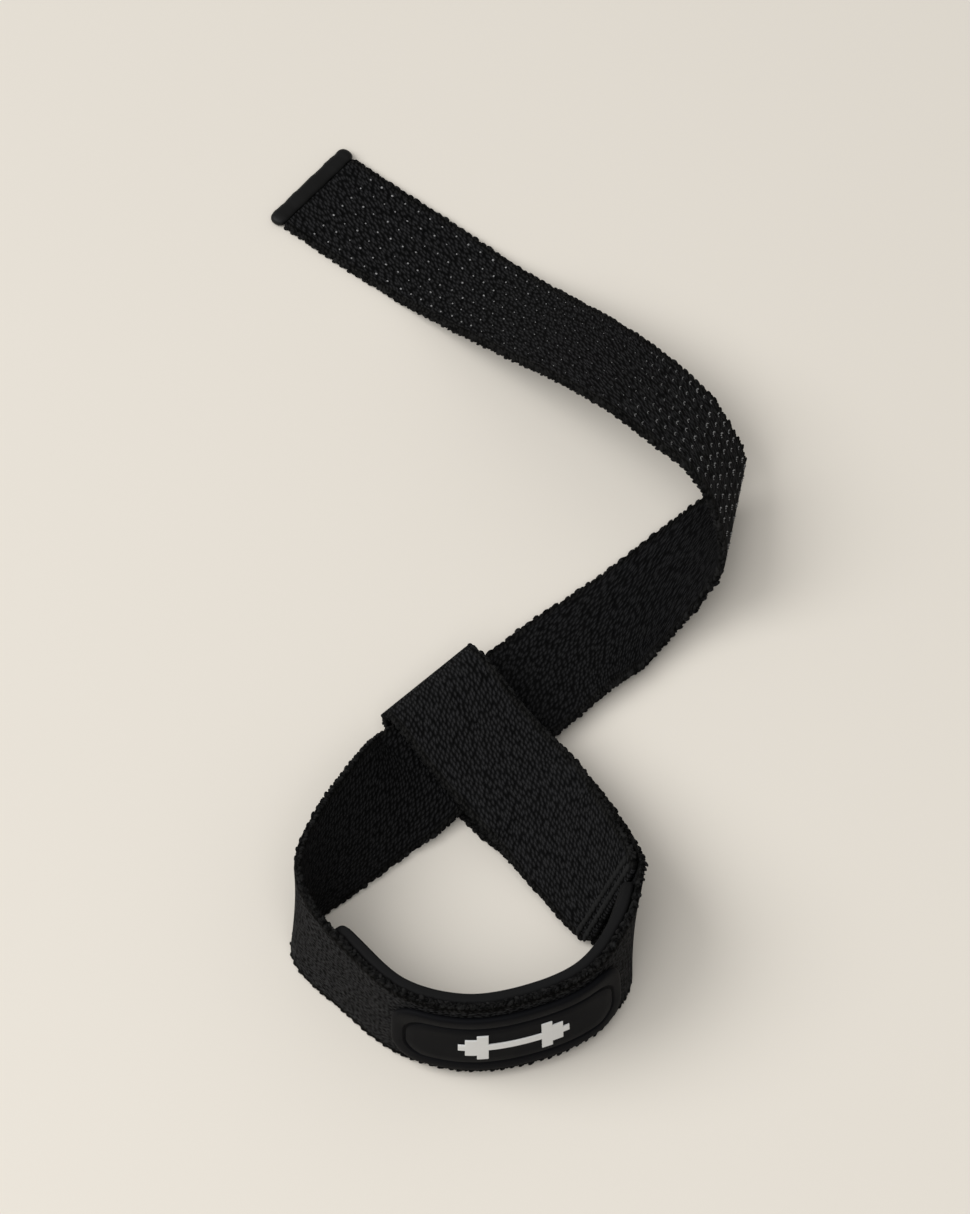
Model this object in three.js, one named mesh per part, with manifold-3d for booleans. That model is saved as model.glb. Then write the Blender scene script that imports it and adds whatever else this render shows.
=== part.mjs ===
// A weightlifting strap of the lasso kind, lying on a table.
// One strip of cotton webbing runs from its sealed tip over a soft bend, through its own eye,
// round the wrist on edge, and back over itself to make that eye.
// Millimetres, Z up. Face A of the strip is up at the tip and outside round the wrist.
import * as THREE from "three";
import ManifoldModule from "manifold-3d";

const library = await ManifoldModule();
library.setup();
const { Manifold } = library;

// Driving sizes of the webbing
const strap_length = 700; // from the tip to the eye's fold, along the strip
const strap_width = 38;
const webbing_thickness = 2.4;
const layer_gap = 0.4; // clear height between strips that lie on each other
const edge_chamfer = 0.6;

// Sealed tip
const tip_length = 6;
const tip_thickness = 3.4;
const tip_overhang = 0.8; // past each edge of the webbing

// Neoprene pad inside the wrist loop
const pad_thickness = 4;
const pad_width = 36;
const pad_length = 134;
const pad_end_gap = 4; // from the folded-back strip's end
const pad_chamfer = 1;

// Rubber label outside the wrist loop
const label_length = 76;
const label_height = 28.5;
const label_thickness = 2;
const label_corner = 9;
const groove_corner = 8;
const label_shift = 3; // from the pad's middle towards the seam
const rim_width = 4;
const groove_width = 1.1;
const groove_depth = 1;

// Plain barbell mark on the label
const mark_length = 34;
const mark_height = 13;
const mark_thickness = 0.5;
const mark_bar = 3;

// How the parts are spaced and meshed
const seat_gap = 0.3;
const steps_per_row = 8;
const label_step = 6;

// The strip's course over the table, a row for each turn of its shape, as the photograph shows it.
// x, y and lift are shares of strap_length: the middle of the strip, and its lowest edge's height.
// bearing and rise (degrees) point from edge 2 to edge 1 along the line the strip bends about, layers
// counts the strips it lies on, and slant is 1 where that line isn't squared up to the strip.
const course_columns = ["x", "y", "bearing", "rise", "lift", "layers", "slant"];
const tail_rows = [
  [-0.0885, 0.2465, 50, 0, 0, 0, 0], // tip
  [-0.054, 0.218, 52, 0, 0, 0, 0],
  [-0.0275, 0.197, 49, -1, 0.0006, 0, 0], // leaves the table
  [-0.0045, 0.1755, 41, -5, 0.005, 0, 0.5],
  [0.014, 0.1561, 40, -7, 0.014, 0, 1],
  [0.0317, 0.1375, 49, -12, 0.0225, 0, 1],
  [0.0503, 0.1187, 59, -17, 0.0303, 0, 1],
  [0.07, 0.0993, 67, -19, 0.0358, 0, 1],
];
const bend_rows = [
  [0.0895, 0.0798, 77, -18, 0.0376, 0, 1], // highest
  [0.1028, 0.0662, 81, -18, 0.0355, 0, 1],
  [0.1117, 0.0524, 81, -16, 0.029, 0, 1],
  [0.1156, 0.0437, 80, -14, 0.0245, 0, 1],
  [0.1165, 0.0368, 80, -11, 0.0204, 0, 1], // over the edge of the bend
  [0.1137, 0.0306, 79, -8, 0.0165, 0, 1],
  [0.1077, 0.0251, 78, -4, 0.0132, 0, 1],
  [0.0938, 0.0141, 78, -1, 0.008, 0, 1],
  [0.0795, 0.002, 84, -2, 0.0045, 0, 1],
  [0.0655, -0.0105, 95, -4, 0.0022, 0.25, 1],
  [0.0512, -0.0226, 111, -4, 0.001, 0.7, 1],
];
const lower_rows = [
  [0.037, -0.0347, 128, -1, 0.0005, 1.2, 1], // into the eye, on its lower layer
  [0.0195, -0.0514, 136, 2, 0, 1.6, 0],
  [-0.0035, -0.0739, 136, 2, 0, 1.5, 0],
  [-0.0165, -0.0858, 136, 4, 0.0002, 1.4, 0], // out of the eye
  [-0.0314, -0.0997, 133, 13, 0.0024, 1, 0], // edge 1 rises
  [-0.045, -0.119, 133, 43, 0.002, 0, 0],
  [-0.065, -0.145, 134, 62, 0.0015, 0, 0],
];
const wrist_rows = [
  [-0.08, -0.167, 122, 78, 0.0005, 0, 0],
  [-0.0845, -0.179, 60, 84, 0.0002, 0, 0], // stands on edge 2
  [-0.0815, -0.193, 30, 82, 0.0002, 0, 0],
  [-0.0627, -0.2157, 42, 86, 0.0002, 0, 0],
  [-0.039, -0.2377, 66, 88, 0.0002, 0, 0],
  [-0.0085, -0.2465, 86, 87, 0.0002, 0, 0],
  [0.0225, -0.2412, 110, 86, 0.0002, 0, 0],
  [0.047, -0.2285, 132, 86, 0.0002, 0, 0],
  [0.0615, -0.209, 138, 86, 0.0002, 0, 0],
  [0.0655, -0.193, 60, 84, 0.0002, 0, 0], // right corner
];
// The eye: rise, lift and layers once for its lower strip and once for the strip folded back over it.
const eye_columns = ["x", "y", "bearing", "rise", "lift", "layers", "rise_over", "lift_over", "layers_over"];
const eye_rows = [
  [0.0615, -0.176, 32, 61, 0.0005, 0, 61, 0.0005, 1], // seam, beside the pad's end
  [0.0525, -0.162, 37, 48, 0.002, 0, 48, 0.002, 1],
  [0.044, -0.1478, 38, 41, 0.0022, 0, 41, 0.0025, 1.05],
  [0.0355, -0.134, 37, 31, 0.0018, 0, 33, 0.0028, 1.25],
  [0.0273, -0.1202, 36, 17, 0.0014, 0, 25, 0.0035, 1.7], // the strips part
  [0.0165, -0.108, 36, 1, 0.0004, 0, 16, 0.0052, 2],
  [-0.003, -0.084, 37, 0, 0, 0, 10, 0.0078, 2], // middle of the tail that passes between
  [-0.0188, -0.0624, 37, 0, 0, 0, 10, 0.012, 2],
  [-0.0234, -0.0566, 39, 0, 0, 0, 9, 0.0108, 1.6],
];
const fold_row = [-0.0267, -0.0524, 42, 5, 0.0062, 0, 0];
const seam_row = 0; // row of eye_rows where the folded-back strip ends

// Turns table rows into objects with the columns' names.
function named(columns, rows) {
  return rows.map((row) => Object.fromEntries(columns.map((name, k) => [name, row[k]])));
}

// The whole course from the tip, through the lower strip, round the fold and back to the seam.
function strapCourse() {
  const eye = named(eye_columns, eye_rows);
  const over = eye.slice(seam_row).reverse().map((row) => ({
    x: row.x, y: row.y, bearing: row.bearing,
    rise: row.rise_over, lift: row.lift_over, layers: row.layers_over, slant: 0,
  }));
  return [
    ...named(course_columns, [...tail_rows, ...bend_rows, ...lower_rows, ...wrist_rows]),
    ...eye.map((row) => ({ ...row, slant: 0 })),
    ...named(course_columns, [fold_row]),
    ...over,
  ];
}

// A cubic through values at 0, 1, 2, ... that never swings past them.
function monotone(values) {
  const step = values.slice(1).map((value, k) => value - values[k]);
  const slope = values.map((_, k) => {
    const before = step[Math.max(k - 1, 0)];
    const after = step[Math.min(k, step.length - 1)];
    return before * after > 0 ? (2 * before * after) / (before + after) : 0;
  });
  return (at) => {
    const k = Math.min(Math.floor(at), step.length - 1);
    const t = at - k;
    const rise = step[k] * t * t * (3 - 2 * t);
    return values[k] + rise + slope[k] * t * (1 - t) ** 2 - slope[k + 1] * t * t * (1 - t);
  };
}

// Samples of the strip: its middle, the way it runs, the way across to edge 1 and out of face A.
function strapSamples(course) {
  const plan = new THREE.CatmullRomCurve3(
    course.map((row) => new THREE.Vector3(row.x * strap_length, row.y * strap_length, 0)), false, "centripetal");
  const across = course.map((row) => {
    const bearing = THREE.MathUtils.degToRad(row.bearing);
    const rise = THREE.MathUtils.degToRad(row.rise);
    return [Math.cos(bearing) * Math.cos(rise), Math.sin(bearing) * Math.cos(rise), Math.sin(rise)];
  });
  const acrossAt = [0, 1, 2].map((axis) => monotone(across.map((direction) => direction[axis])));
  const liftAt = monotone(course.map((row) => row.lift * strap_length));
  const layersAt = monotone(course.map((row) => row.layers));
  const slantAt = monotone(course.map((row) => row.slant));
  const last = course.length - 1;
  const bare = [];
  for (let k = 0; k <= last * steps_per_row; k += 1) {
    const at = k / steps_per_row;
    const middle = plan.getPoint(at / last);
    const line = new THREE.Vector3(...acrossAt.map((component) => component(at))).normalize();
    const level = Math.hypot(line.x, line.y);
    const standing = Math.hypot((strap_width / 2) * line.z, (webbing_thickness / 2) * level);
    middle.z = liftAt(at) + standing;
    bare.push({ middle, line, slant: slantAt(at), layers: layersAt(at) });
  }
  squareUp(bare);
  for (const sample of bare) {
    const up = sample.out.clone().multiplyScalar(sample.out.z < 0 ? -1 : 1);
    sample.middle.addScaledVector(up, sample.layers * (webbing_thickness + layer_gap));
  }
  squareUp(bare);
  return bare;
}

// Sets along, way and out of each sample square to each other, how far its line leans along for each
// millimetre across, and its distance from the start.
function squareUp(samples) {
  samples.forEach((sample, k) => {
    const before = samples[Math.max(k - 1, 0)].middle;
    const after = samples[Math.min(k + 1, samples.length - 1)].middle;
    sample.along = after.clone().sub(before).normalize();
    const leaning = sample.line.dot(sample.along);
    sample.way = sample.line.clone().addScaledVector(sample.along, -leaning).normalize();
    sample.skew = (sample.slant * leaning) / sample.line.dot(sample.way);
    sample.out = sample.along.clone().cross(sample.way);
    sample.distance = k === 0 ? 0 : samples[k - 1].distance + sample.middle.distanceTo(before);
  });
}

// The sample at a distance along the strip, between its neighbours.
function sampleAt(samples, distance) {
  const k = Math.max(1, samples.findIndex((sample) => sample.distance >= distance));
  const [low, high] = [samples[k - 1], samples[k]];
  const t = (distance - low.distance) / (high.distance - low.distance);
  return {
    middle: low.middle.clone().lerp(high.middle, t),
    way: low.way.clone().lerp(high.way, t).normalize(),
    out: low.out.clone().lerp(high.out, t).normalize(),
    along: low.along.clone().lerp(high.along, t).normalize(),
    skew: THREE.MathUtils.lerp(low.skew, high.skew, t),
  };
}

// A point at a sample, so far across towards edge 1 and so far out of face A.
function place(sample, across, out) {
  return sample.middle.clone().addScaledVector(sample.way, across)
    .addScaledVector(sample.along, across * sample.skew).addScaledVector(sample.out, out);
}

// Outline of a strip's section with cut corners, from `inner` to `outer` out of face A.
function stripSection(width, inner, outer, chamfer) {
  const half = width / 2;
  return [
    [half - chamfer, inner], [half, inner + chamfer], [half, outer - chamfer], [half - chamfer, outer],
    [chamfer - half, outer], [-half, outer - chamfer], [-half, inner + chamfer], [chamfer - half, inner],
  ];
}

// One closed solid from a section carried along samples. Both faces are cut the same way across, so a
// strip on a twisted strip keeps its gap.
function stripGeometry(samples, section) {
  const points = samples.flatMap((sample) => section.map(([across, out]) => place(sample, across, out)));
  const count = section.length;
  const faces = [];
  for (let ring = 0; ring < samples.length - 1; ring += 1) {
    for (let k = 0; k < count; k += 1) {
      const [a, b] = [ring * count + k, ring * count + ((k + 1) % count)];
      const [c, d] = [a + count, b + count];
      faces.push(...(k < count / 2 ? [a, b, c, b, d, c] : [a, b, d, a, d, c]));
    }
  }
  const end = (samples.length - 1) * count;
  for (let k = 1; k < count - 1; k += 1) {
    faces.push(0, k + 1, k);
    faces.push(end, end + k, end + k + 1);
  }
  const geometry = new THREE.BufferGeometry().setFromPoints(points);
  geometry.setIndex(faces);
  geometry.computeVertexNormals();
  return geometry;
}

function part(name, geometry, colour, roughness) {
  const mesh = new THREE.Mesh(geometry, new THREE.MeshStandardMaterial({ color: colour, roughness, metalness: 0 }));
  mesh.name = name;
  return mesh;
}

const samples = strapSamples(strapCourse());
const rows_to_seam = tail_rows.length + bend_rows.length + lower_rows.length + wrist_rows.length + seam_row;
const seam_distance = samples[rows_to_seam * steps_per_row].distance;
const pad_middle = seam_distance - pad_end_gap - pad_length / 2;

// Webbing: one strip, tip to seam
function webbing() {
  const half = webbing_thickness / 2;
  const start = tip_length + seat_gap;
  const kept = samples.filter((sample) => sample.distance > start + 1);
  const strip = [sampleAt(samples, start), ...kept];
  return stripGeometry(strip, stripSection(strap_width, -half, half, edge_chamfer));
}

// Sealed tip: a rounded bar across the end, flush with the webbing underneath
function tailTip() {
  const radius = tip_thickness / 2;
  const span = strap_width + 2 * tip_overhang - tip_thickness;
  const geometry = new THREE.CapsuleGeometry(radius, span, 4, 14);
  geometry.scale(tip_length / tip_thickness, 1, 1);
  const end = sampleAt(samples, tip_length / 2);
  const middle = place(end, 0, radius - webbing_thickness / 2);
  geometry.applyMatrix4(new THREE.Matrix4().makeBasis(end.along, end.way, end.out).setPosition(middle));
  return geometry;
}

// Pad: neoprene on face B, from the left of the loop to the seam
function wristPad() {
  const inner = -webbing_thickness / 2 - seat_gap;
  const [from, to] = [pad_middle - pad_length / 2, pad_middle + pad_length / 2];
  const strip = samples.filter((sample) => sample.distance > from && sample.distance < to);
  return stripGeometry(strip, stripSection(pad_width, inner - pad_thickness, inner, pad_chamfer));
}

// A rounded rectangle as a list of corner points, middle at the origin
function roundedOutline(length, height, corner) {
  const shape = new THREE.Shape();
  const [x, y] = [length / 2, height / 2];
  shape.moveTo(corner - x, -y);
  shape.lineTo(x - corner, -y);
  shape.absarc(x - corner, corner - y, corner, -Math.PI / 2, 0);
  shape.absarc(x - corner, y - corner, corner, 0, Math.PI / 2);
  shape.absarc(corner - x, y - corner, corner, Math.PI / 2, Math.PI);
  shape.absarc(corner - x, corner - y, corner, Math.PI, 1.5 * Math.PI);
  const points = shape.getPoints(6).map((point) => [point.x, point.y]);
  return points.filter((point, k) => {
    const next = points[(k + 1) % points.length];
    return Math.hypot(next[0] - point[0], next[1] - point[1]) > 0.01;
  });
}

// Bends a flat solid round the loop: x runs along the strip, y across it and z out of face A.
function bentRound(flat, step, out) {
  const fine = flat.refineToLength(step).getMesh();
  const geometry = new THREE.BufferGeometry();
  const positions = [];
  for (let k = 0; k < fine.numVert; k += 1) {
    const [x, y, z] = fine.position(k);
    const sample = sampleAt(samples, pad_middle + label_shift + x);
    positions.push(...place(sample, y, out + z).toArray());
  }
  geometry.setAttribute("position", new THREE.Float32BufferAttribute(positions, 3));
  geometry.setIndex([...fine.triVerts]);
  geometry.computeVertexNormals();
  return geometry;
}

// Label: a rubber plate with a groove that sets off its inner panel
function wristLabel() {
  const ring = (inset, corner, low, high) => Manifold.extrude(
    [roundedOutline(label_length - 2 * inset, label_height - 2 * inset, corner)], high - low,
  ).translate([0, 0, low]);
  const floor = label_thickness - groove_depth;
  const panel = ring(rim_width + groove_width, groove_corner - groove_width, floor - 1, label_thickness + 2);
  const groove = ring(rim_width, groove_corner, floor, label_thickness + 1).subtract(panel);
  const plate = ring(0, label_corner, 0, label_thickness).subtract(groove);
  return bentRound(plate, label_step, webbing_thickness / 2 + seat_gap);
}

// Mark: a plain barbell, two plates on each side of a bar
function labelMark() {
  const block = (from, to, height) => Manifold.cube([to - from, height, mark_thickness])
    .translate([from, -height / 2, 0]);
  const end = mark_length / 2;
  const plate = mark_length / 10;
  const solids = [block(-end, end, mark_bar)];
  for (const side of [-1, 1]) {
    const [outer, middle, inner] = [end - 0.6 * plate, end - 1.6 * plate, end - 2.6 * plate].map((x) => side * x);
    solids.push(block(Math.min(outer, middle), Math.max(outer, middle), 0.66 * mark_height));
    solids.push(block(Math.min(middle, inner), Math.max(middle, inner), mark_height));
  }
  const out = webbing_thickness / 2 + seat_gap + label_thickness + seat_gap;
  return bentRound(Manifold.union(solids), label_step, out);
}

const strap = new THREE.Group();
strap.add(part("webbing", webbing(), 0x1b1b1b, 0.95));
strap.add(part("tail_tip", tailTip(), 0x1a1a1a, 0.6));
strap.add(part("wrist_pad", wristPad(), 0x1d1d1d, 0.75));
strap.add(part("wrist_label", wristLabel(), 0x212121, 0.6));
strap.add(part("label_mark", labelMark(), 0xd8d8d6, 0.6));

// The origin is the middle of the strap's footprint, on the table
const box = new THREE.Box3().setFromObject(strap, true);
strap.position.set(-(box.min.x + box.max.x) / 2, -(box.min.y + box.max.y) / 2, -box.min.z);

export default strap;
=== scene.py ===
# %% [markdown]
# # A lifting strap of the lasso kind
# The strap is one strip of black cotton webbing. Its sealed tip lies flat on a table, the tail rises into a
# soft bend, passes through the strap's own eye, stands on edge round the wrist, and is folded back and sewn
# to make that eye. A neoprene pad lines the wrist loop and a rubber label sits outside it.
# The CAD part is loaded first. It is the frame: every piece below is made over one of its nodes, in metres.

# %% Load the frame
import math

import bmesh
import bpy
import numpy as np
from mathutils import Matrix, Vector


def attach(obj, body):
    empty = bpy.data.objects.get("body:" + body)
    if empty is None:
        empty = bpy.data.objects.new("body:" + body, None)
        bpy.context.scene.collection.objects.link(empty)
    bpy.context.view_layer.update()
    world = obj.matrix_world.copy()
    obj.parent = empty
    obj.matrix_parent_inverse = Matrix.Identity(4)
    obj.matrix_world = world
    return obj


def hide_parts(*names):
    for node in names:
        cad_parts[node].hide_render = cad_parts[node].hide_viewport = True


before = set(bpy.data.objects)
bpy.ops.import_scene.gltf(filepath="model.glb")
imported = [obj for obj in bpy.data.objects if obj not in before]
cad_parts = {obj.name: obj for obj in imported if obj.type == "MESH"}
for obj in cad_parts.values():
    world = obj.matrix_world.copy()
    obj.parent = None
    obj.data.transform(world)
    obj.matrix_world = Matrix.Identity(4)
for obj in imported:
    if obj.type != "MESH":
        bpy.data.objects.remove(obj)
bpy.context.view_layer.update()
print("CAD nodes:", sorted(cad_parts))

# %% [markdown]
# ## Camera
# The photograph is taken from in front, looking down at 57 degrees from far away, so the two edges of the
# tail stay almost parallel. A long lens from two metres gives the same picture. The camera looks straight at
# the point that is in the middle of the photograph, so no lens shift is needed.

# %% Camera
photo_width = 970  # pixels
focal_length = 6400  # in the photograph's pixels
camera_height_angle = math.radians(57.25)
camera_distance = 2.112
look_at = Vector((-0.00665, -0.00473, 0.0))

lens = bpy.data.cameras.new("photo_lens")
lens.sensor_fit = "HORIZONTAL"
lens.sensor_width = 36.0
lens.lens = focal_length / photo_width * lens.sensor_width
lens.clip_end = 20
camera = bpy.data.objects.new("photo_camera", lens)
towards_camera = Vector((0, -math.cos(camera_height_angle), math.sin(camera_height_angle)))
camera.location = look_at + camera_distance * towards_camera
camera.rotation_euler = (math.pi / 2 - camera_height_angle, 0, 0)
bpy.context.collection.objects.link(camera)
bpy.context.scene.camera = camera
print("lens:", round(lens.lens, 1), "mm")

# %% [markdown]
# ## The strip's course
# Webbing is woven flat, so its laid shape is a strip that bends but hardly stretches. A cloth simulation
# would let it sag out of the pose in the photograph. Instead the course is written as a short table, the same
# one as in the CAD part: the middle of the strip, the line that it bends about there, how high its lowest
# edge is, and on how many strips it lies. Everything sewn to the strap is then placed by its distance along
# the strip and across it, as a maker would mark it on the flat webbing.

# %% The course, row by row
strap_length = 0.700
strap_width = 0.038
webbing_thickness = 0.0024
layer_gap = 0.0004
frame_shift = np.array([-0.006650, -0.004727, 0.0000543])  # to the CAD part's origin

# Columns: x, y, bearing, rise, lift, layers, slant. x, y and lift are shares of strap_length, bearing and
# rise are degrees from edge 2 to edge 1, and slant is 1 where the bending line isn't squared up to the strip.
tail_rows = [
    [-0.0885, 0.2465, 50, 0, 0, 0, 0],  # tip
    [-0.054, 0.218, 52, 0, 0, 0, 0],
    [-0.0275, 0.197, 49, -1, 0.0006, 0, 0],  # leaves the table
    [-0.0045, 0.1755, 41, -5, 0.005, 0, 0.5],
    [0.014, 0.1561, 40, -7, 0.014, 0, 1],
    [0.0317, 0.1375, 49, -12, 0.0225, 0, 1],
    [0.0503, 0.1187, 59, -17, 0.0303, 0, 1],
    [0.07, 0.0993, 67, -19, 0.0358, 0, 1],
]
bend_rows = [
    [0.0895, 0.0798, 77, -18, 0.0376, 0, 1],  # highest
    [0.1028, 0.0662, 81, -18, 0.0355, 0, 1],
    [0.1117, 0.0524, 81, -16, 0.029, 0, 1],
    [0.1156, 0.0437, 80, -14, 0.0245, 0, 1],
    [0.1165, 0.0368, 80, -11, 0.0204, 0, 1],  # over the edge of the bend
    [0.1137, 0.0306, 79, -8, 0.0165, 0, 1],
    [0.1077, 0.0251, 78, -4, 0.0132, 0, 1],
    [0.0938, 0.0141, 78, -1, 0.008, 0, 1],
    [0.0795, 0.002, 84, -2, 0.0045, 0, 1],
    [0.0655, -0.0105, 95, -4, 0.0022, 0.25, 1],
    [0.0512, -0.0226, 111, -4, 0.001, 0.7, 1],
]
lower_rows = [
    [0.037, -0.0347, 128, -1, 0.0005, 1.2, 1],  # into the eye, on its lower layer
    [0.0195, -0.0514, 136, 2, 0, 1.6, 0],
    [-0.0035, -0.0739, 136, 2, 0, 1.5, 0],
    [-0.0165, -0.0858, 136, 4, 0.0002, 1.4, 0],  # out of the eye
    [-0.0314, -0.0997, 133, 13, 0.0024, 1, 0],  # edge 1 rises
    [-0.045, -0.119, 133, 43, 0.002, 0, 0],
    [-0.065, -0.145, 134, 62, 0.0015, 0, 0],
]
wrist_rows = [
    [-0.08, -0.167, 122, 78, 0.0005, 0, 0],
    [-0.0845, -0.179, 60, 84, 0.0002, 0, 0],  # stands on edge 2
    [-0.0815, -0.193, 30, 82, 0.0002, 0, 0],
    [-0.0627, -0.2157, 42, 86, 0.0002, 0, 0],
    [-0.039, -0.2377, 66, 88, 0.0002, 0, 0],
    [-0.0085, -0.2465, 86, 87, 0.0002, 0, 0],
    [0.0225, -0.2412, 110, 86, 0.0002, 0, 0],
    [0.047, -0.2285, 132, 86, 0.0002, 0, 0],
    [0.0615, -0.209, 138, 86, 0.0002, 0, 0],
    [0.0655, -0.193, 60, 84, 0.0002, 0, 0],  # right corner
]
# The eye: x, y, bearing, then rise, lift and layers for its lower strip, and for the strip folded over it.
eye_rows = [
    [0.0615, -0.176, 32, 61, 0.0005, 0, 61, 0.0005, 1],  # seam
    [0.0525, -0.162, 37, 48, 0.002, 0, 48, 0.002, 1],
    [0.044, -0.1478, 38, 41, 0.0022, 0, 41, 0.0025, 1.05],
    [0.0355, -0.1340, 37, 31, 0.0018, 0, 33, 0.0028, 1.25],
    [0.0273, -0.1202, 36, 17, 0.0014, 0, 25, 0.0035, 1.7],  # the strips part
    [0.0165, -0.1080, 36, 1, 0.0004, 0, 16, 0.0052, 2],
    [-0.003, -0.0840, 37, 0, 0, 0, 10, 0.0078, 2],  # middle of the tail that passes between
    [-0.0188, -0.0624, 37, 0, 0, 0, 10, 0.012, 2],
    [-0.0234, -0.0566, 39, 0, 0, 0, 9, 0.0108, 1.6],
]
fold_row = [-0.0267, -0.0524, 42, 5, 0.0062, 0, 0]

single_rows = tail_rows + bend_rows + lower_rows + wrist_rows
course = np.array(
    single_rows
    + [row[:6] + [0] for row in eye_rows]
    + [fold_row]
    + [row[:3] + row[6:] + [0] for row in reversed(eye_rows)],
    dtype=float,
)
print("course:", len(course), "rows")

# %% [markdown]
# ## From the table to a smooth strip
# Two kinds of curve join the rows. The middle follows a Catmull-Rom curve, which passes through its points
# without loops. Angles and heights follow a cubic that never swings past its values, so that the strip
# doesn't dip under the table between two rows. At each sample the strip then gets three directions: along
# it, across it to edge 1, and out of face A.

# %% Curves through the rows
def smooth_plan(points, at):
    """The centripetal Catmull-Rom curve through points, read at the places in at."""
    ends = np.vstack([2 * points[0] - points[1], points, 2 * points[-1] - points[-2]])
    gaps = np.sum(np.diff(ends, axis=0) ** 2, axis=1) ** 0.25
    k = np.minimum(at.astype(int), len(points) - 2)
    t = (at - k)[:, None]
    x0, x1, x2, x3 = (ends[k + i] for i in range(4))
    d0, d1, d2 = (gaps[k + i][:, None] for i in range(3))
    leave = ((x1 - x0) / d0 - (x2 - x0) / (d0 + d1) + (x2 - x1) / d1) * d1
    arrive = ((x2 - x1) / d1 - (x3 - x1) / (d1 + d2) + (x3 - x2) / d2) * d1
    square = -3 * x1 + 3 * x2 - 2 * leave - arrive
    cube = 2 * x1 - 2 * x2 + leave + arrive
    return x1 + leave * t + square * t**2 + cube * t**3


def monotone(values, at):
    """A cubic through values at 0, 1, 2, ... that never swings past them."""
    step = np.diff(values)
    before = np.concatenate([step[:1], step])
    after = np.concatenate([step, step[-1:]])
    same_way = before * after > 0
    slope = np.where(same_way, 2 * before * after / np.where(same_way, before + after, 1), 0)
    k = np.minimum(at.astype(int), len(step) - 1)
    t = at - k
    rise = step[k] * t * t * (3 - 2 * t)
    return values[k] + rise + slope[k] * t * (1 - t) ** 2 - slope[k + 1] * t * t * (1 - t)


def unit(vectors):
    return vectors / np.linalg.norm(vectors, axis=1)[:, None]


def dot(a, b):
    return np.sum(a * b, axis=1)


# %% The strip's samples
samples_per_row = 40
last_row = len(course) - 1
places = np.arange(last_row * samples_per_row + 1) / samples_per_row
x, y, bearing, rise, lift, layers, slant = course.T
bearing, rise = np.radians(bearing), np.radians(rise)
line_of_rows = np.stack(
    [np.cos(bearing) * np.cos(rise), np.sin(bearing) * np.cos(rise), np.sin(rise)], axis=1)
plan = smooth_plan(np.stack([x, y], axis=1) * strap_length, places)
line = unit(np.stack([monotone(line_of_rows[:, axis], places) for axis in range(3)], axis=1))
level = np.hypot(line[:, 0], line[:, 1])
standing = np.hypot(strap_width / 2 * line[:, 2], webbing_thickness / 2 * level)
middle = np.column_stack([plan, monotone(lift * strap_length, places) + standing])
slant_at = monotone(slant, places)


def square_up(middle):
    """The three directions at each sample, how far the bending line leans along, and the distances."""
    before = np.vstack([middle[:1], middle[:-1]])
    after = np.vstack([middle[1:], middle[-1:]])
    along = unit(after - before)
    leaning = dot(line, along)
    way = unit(line - along * leaning[:, None])
    skew = slant_at * leaning / dot(line, way)
    steps = np.linalg.norm(np.diff(middle, axis=0), axis=1)
    return along, way, np.cross(along, way), skew, np.concatenate([[0], np.cumsum(steps)])


out = square_up(middle)[2]
upward = out * np.where(out[:, 2] < 0, -1, 1)[:, None]
stacked = monotone(layers, places) * (webbing_thickness + layer_gap)
middle = middle + upward * stacked[:, None]
along, way, out, skew, distance = square_up(middle)
middle = middle + frame_shift
course_end = distance[-1]
seam_distance = distance[len(single_rows) * samples_per_row]


def read(values, run):
    """A vector of the course, at distances along the strip."""
    return np.stack([np.interp(run, distance, values[:, axis]) for axis in range(3)], axis=-1)


def lay(run, across, height):
    """Points of the laid strap: so far along the strip, so far across to edge 1, so far out of face A."""
    run, across, height = np.broadcast_arrays(run, across, height)
    lean = (across * np.interp(run, distance, skew))[..., None]
    sideways = read(way, run) * across[..., None] + read(along, run) * lean
    return read(middle, run) + sideways + read(out, run) * height[..., None]


print("strip:", round(course_end, 4), "m from the tip to its sewn end, seam at", round(seam_distance, 4))

# %% [markdown]
# ## Meshes from points
# Blender's from_pydata takes lists of points and faces. The helpers below keep that in one place: they make
# an object at the origin with smooth faces, close a row of rings into a solid, and turn its faces outwards.
# Points that are carried along the strip also keep their place on it, because the weave is drawn there.

# %% Mesh helpers
def show(name, mesh):
    """A mesh as an object of the scene."""
    made = bpy.data.objects.new(name, mesh)
    bpy.context.collection.objects.link(made)
    return made


def make_object(name, points, faces):
    mesh = bpy.data.meshes.new(name)
    mesh.from_pydata(np.asarray(points).tolist(), [], np.asarray(faces, dtype=object).tolist())
    mesh.polygons.foreach_set("use_smooth", [True] * len(mesh.polygons))
    mesh.update()
    return show(name, mesh)


def ring_faces(rings, around):
    """Quads between rings of points, and a cap of one face on each end."""
    ring, k = np.meshgrid(np.arange(rings - 1), np.arange(around), indexing="ij")
    here = ring * around + k
    beside = ring * around + (k + 1) % around
    quads = np.stack([here, here + around, beside + around, beside], axis=-1).reshape(-1, 4).tolist()
    first = list(range(around))
    last = [(rings - 1) * around + k for k in reversed(range(around))]
    return quads + [first, last]


def face_outwards(made):
    """Turns the faces of a closed mesh outwards."""
    shape = bmesh.new()
    shape.from_mesh(made.data)
    bmesh.ops.recalc_face_normals(shape, faces=shape.faces)
    shape.to_mesh(made.data)
    shape.free()


def keep_flat_places(made, run, across, height):
    """Stores where each point is on the flat strip, and which face it is on."""
    layer = made.data.attributes.new("flat_place", "FLOAT_VECTOR", "POINT")
    flat = np.column_stack([run.ravel(), across.ravel(), np.sign(height).ravel()])
    layer.data.foreach_set("vector", flat.astype(np.float32).ravel())


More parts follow.
